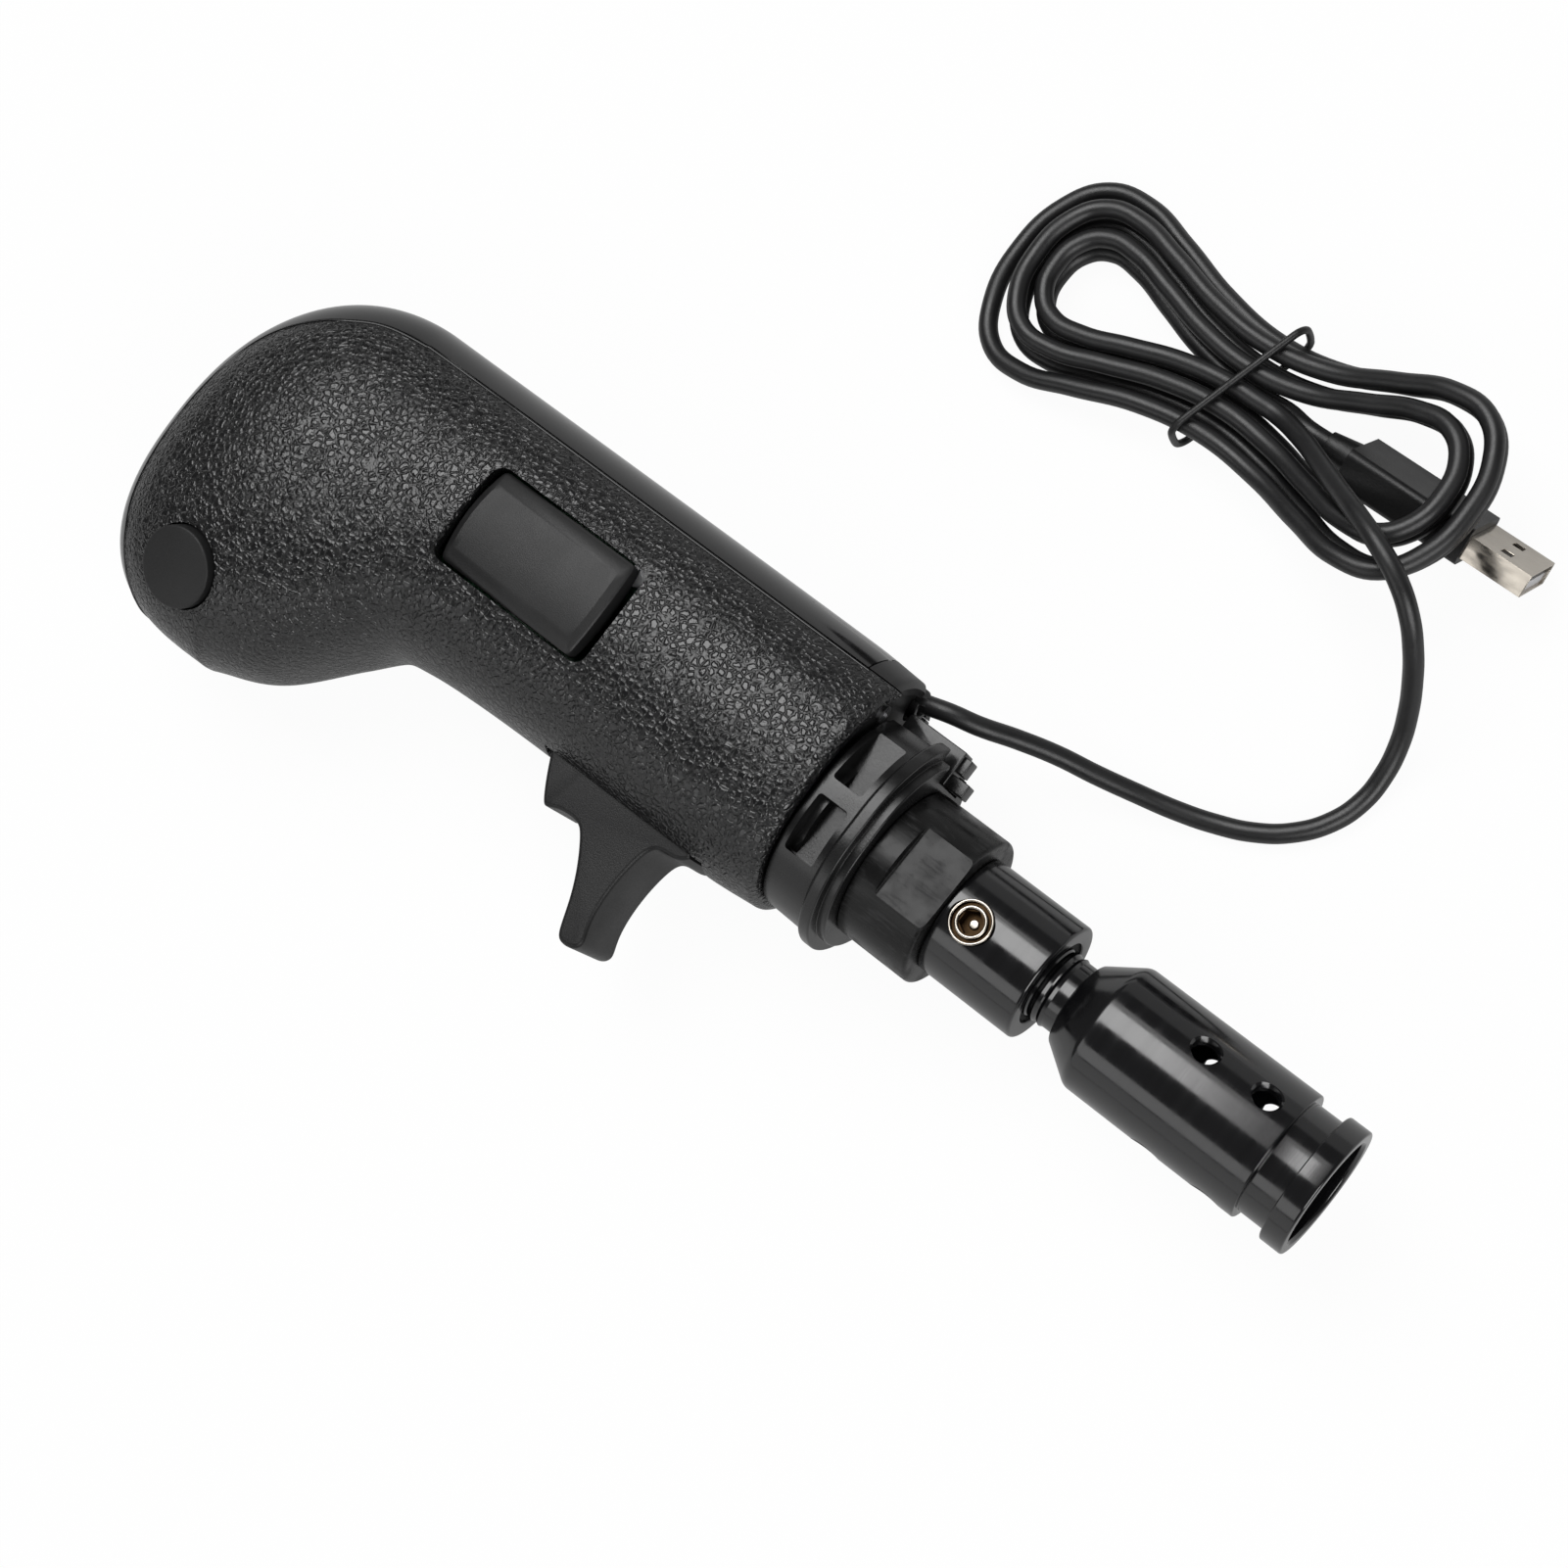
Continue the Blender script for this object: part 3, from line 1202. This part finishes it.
def make_button():
    rim = BUTTON_R - BUTTON_EDGE
    reaches = [rim * k / DOME_RINGS for k in range(DOME_RINGS, -1, -1)]
    dome = [(r, BUTTON_PROUD - r ** 2 / (2 * BUTTON_DOME)) for r in reaches]
    shoulder = BUTTON_PROUD - BUTTON_R ** 2 / (2 * BUTTON_DOME)
    profile = rounded([
        (0, BUTTON_FOOT), (BUTTON_STEM_R, BUTTON_FOOT, 0.2), (BUTTON_STEM_R, BUTTON_FLANGE),
        (BUTTON_FLANGE_R, BUTTON_FLANGE, 0.2), (BUTTON_FLANGE_R, BUTTON_FLANGE_TOP, 0.2),
        (BUTTON_R, BUTTON_FLANGE_TOP), (BUTTON_R, shoulder, BUTTON_EDGE), *dome])
    mesh = shade(turned("button", profile, at_button))
    put("button_cap", mesh, RUBBER, "button", "matte_black", "thumb_button")


# The lever's outline from the stem's front at its pivot's height: the blade, then the web inside
TRIGGER_BLADE = [
    (-0.8, 13.9), (3.5, 11.6), (7.2, 9.2), (7.6, 8.2), (6.8, 6.6), (6.3, 4.5), (6.3, 1.6), (7.4, 0),
    (11.4, -2.9), (16.4, -5.6), (21.2, -7.4), (23.9, -8.5), (24.7, -9.8), (24.6, -11.6), (23.8, -13),
    (22.4, -13.5), (20.8, -12.9), (18, -12), (14, -11.5), (9.4, -11.5), (5.1, -12), (2.6, -12.7),
    (1.5, -13.6), (1, -15), (0.7, -18.1), (-0.9, -19.7)]
TRIGGER_WEB = [(-8, -16.5), (-21.2, -1.6), (-21.2, 1.6), (-8, 13.9)]
TRIGGER_STEPS = 5
TRIGGER_PASSES = 8


def at_lever(f, u, l):
    """Points drawn from the stem's front at the lever's pivot height."""
    return across_grip(STEM_FRONT + f, TRIGGER_U + u, l)


def eased(points, passes):
    """An open line with its small kinks smoothed away."""
    line = [Vector(p) for p in points]
    for _ in range(passes):
        inner = [(a + 2 * b + c) / 4 for a, b, c in zip(line, line[1:], line[2:])]
        line = [line[0], *inner, line[-1]]
    return [tuple(p) for p in line]


def make_trigger():
    outline = eased(spline(TRIGGER_BLADE, TRIGGER_STEPS), TRIGGER_PASSES) + TRIGGER_WEB
    half = TRIGGER_W / 2
    hub_f = PIVOT_F - STEM_FRONT
    hub = prism("hub", [(hub_f + a, b) for a, b in circle(HUB_R, 48)], -half, half, at_lever)
    arm = box_mesh("arm", (hub_f - ARM_L - 1, -ARM_HALF_L, -ARM_HALF_W), (hub_f, ARM_HALF_L, ARM_HALF_W),
                   at_lever)
    blade = soft_prism("blade", outline, -half, half, TRIGGER_EDGE, at_lever, 6)
    mesh = joined("lever", blade, hub, arm)
    put("range_lever", shade(mesh, 40), LEVER, "lever", "matte_black", "range_trigger")


for make in (make_adapter, make_barrel, make_set_screw, make_nut, make_collar, make_tab, make_grip,
             make_back, make_rocker, make_button, make_trigger):
    make()


# CAD nodes that keep their shape
EDGE_ANGLE = math.radians(35)
BEVEL_STEPS = 3
DRESSED = [
    (MATTE, "base_plate", "inner_cable"),
    (STEEL, "base_screws", "board_screws", "trigger_pin", "rocker_axle", "button_spring"),
    (INNER, "chassis", "rocker_carrier", "button_cup"),
    (SWITCH, "range_switch", "controller_chip", "rocker_switches", "button_switch"),
    (IVORY, "range_slider", "cable_socket", "usb_tongue"),
    (BOARD, "main_board", "button_board"),
    (WIRE, "button_wires")]


def dress(name, material, bevel=0.0):
    """Gives a node a material, and rounded edges where a bevel is asked for."""
    obj = nodes[name]
    mesh = obj.data
    if "custom_normal" in mesh.attributes:
        mesh.attributes.remove(mesh.attributes["custom_normal"])
    mesh.shade_smooth()
    weld = obj.modifiers.new("weld", "WELD")
    weld.merge_threshold = 1e-6
    if bevel:
        step = obj.modifiers.new("bevel", "BEVEL")
        step.width = bevel * MM
        step.segments = BEVEL_STEPS
        step.limit_method = "ANGLE"
        step.angle_limit = EDGE_ANGLE
        obj.modifiers.new("normals", "WEIGHTED_NORMAL").keep_sharp = True
    else:
        split = obj.modifiers.new("split", "EDGE_SPLIT")
        split.split_angle = EDGE_ANGLE
    mesh.materials.clear()
    mesh.materials.append(material)


dress("cable_grommet", TIE, 0.2)
dress("usb_overmould", OVERMOULD, 0.4)
dress("usb_shell", NICKEL, 0.15)
for material, *names in DRESSED:
    for name in names:
        dress(name, material)


# Floor, light and background
FLOOR_HALF = 6
FLOOR_DROP = 0.0002
FLOOR_GREY = (0.5, 0.5, 0.5)
FLOOR_PALE = (0.92, 0.92, 0.92)
# Shares of plain white that the camera sees in the floor and that reflections show of it
SEEN_WHITE = 0.95
MIRRORED_WHITE = 0.25
# Strength of the room's white, as light and in reflections
ROOM = 0.1
AIM = (-0.13, 0, 0)
# Lamps: name, place and size in metres, power in watts
LAMPS = [
    ("key", (-0.62, 0.34, 1.2), (0.9, 0.76), 7.7),
    ("key_halo", (-0.6, 0.42, 1.2), (1.1, 1.04), 5),
    ("end_fill", (0.9, -0.3, 0.8), (0.8, 0.8), 8),
    ("side", (-0.4, -0.86, 0.63), (1.0, 0.42), 1.6),
    ("front_card", (-0.13, -1.2, 0.25), (1.6, 0.5), 1.4),
    ("back_card", (-0.13, 1.2, 0.25), (1.6, 0.6), 0.8)]


def make_floor():
    """A table that the camera sees white with a faint shadow."""
    corners = [(x * FLOOR_HALF, y * FLOOR_HALF, FLOOR * MM - FLOOR_DROP)
               for x, y in ((-1, -1), (1, -1), (1, 1), (-1, 1))]
    mesh = mesh_of("floor", corners, [[0, 1, 2, 3]])
    floor = linked("floor", mesh)
    s = Shader("floor", FLOOR_GREY, 0.8)
    path = s.add("ShaderNodeLightPath")
    camera = path.outputs["Is Camera Ray"]
    mirrored = s.math("MAXIMUM", path.outputs["Is Glossy Ray"], path.outputs["Is Transmission Ray"])
    s.color(camera, FLOOR_GREY, FLOOR_PALE)
    seen = s.math("MULTIPLY", camera, SEEN_WHITE)
    share = s.math("MAXIMUM", seen, s.math("MULTIPLY", mirrored, MIRRORED_WHITE))
    white = s.add("ShaderNodeEmission")
    inputs = {"Fac": share, 1: s.shader.outputs["BSDF"], 2: white.outputs["Emission"]}
    mix = s.add("ShaderNodeMixShader", inputs)
    s.link(mix.outputs["Shader"], s.tree.nodes["Material Output"].inputs["Surface"])
    mesh.materials.append(s.material)


def make_lamp(name, place, size, power):
    """A rectangular lamp that faces the part."""
    data = bpy.data.lights.new(name, "AREA")
    data.shape = "RECTANGLE"
    data.size = size[0]
    data.size_y = size[1]
    data.energy = power
    lamp = linked(name, data)
    back = (Vector(place) - Vector(AIM)).normalized()
    along = (Vector((1, 0, 0)) - back * back.x).normalized()
    turn = Matrix((along, back.cross(along), back)).transposed()
    lamp.matrix_world = Matrix.Translation(place) @ turn.to_4x4()


def make_light():
    """A room that the camera sees white, and the lamps."""
    world = bpy.data.worlds.new("studio")
    scene.world = world
    world.use_nodes = True
    tree = world.node_tree
    path = tree.nodes.new("ShaderNodeLightPath")
    level = tree.nodes.new("ShaderNodeMapRange")
    level.inputs["To Min"].default_value = ROOM
    level.inputs["To Max"].default_value = 1
    tree.links.new(path.outputs["Is Camera Ray"], level.inputs["Value"])
    back = tree.nodes["Background"]
    back.inputs["Color"].default_value = (1, 1, 1, 1)
    tree.links.new(level.outputs["Result"], back.inputs["Strength"])
    for lamp in LAMPS:
        make_lamp(*lamp)


make_floor()
make_light()
bpy.context.scene.view_settings.view_transform = "Standard"
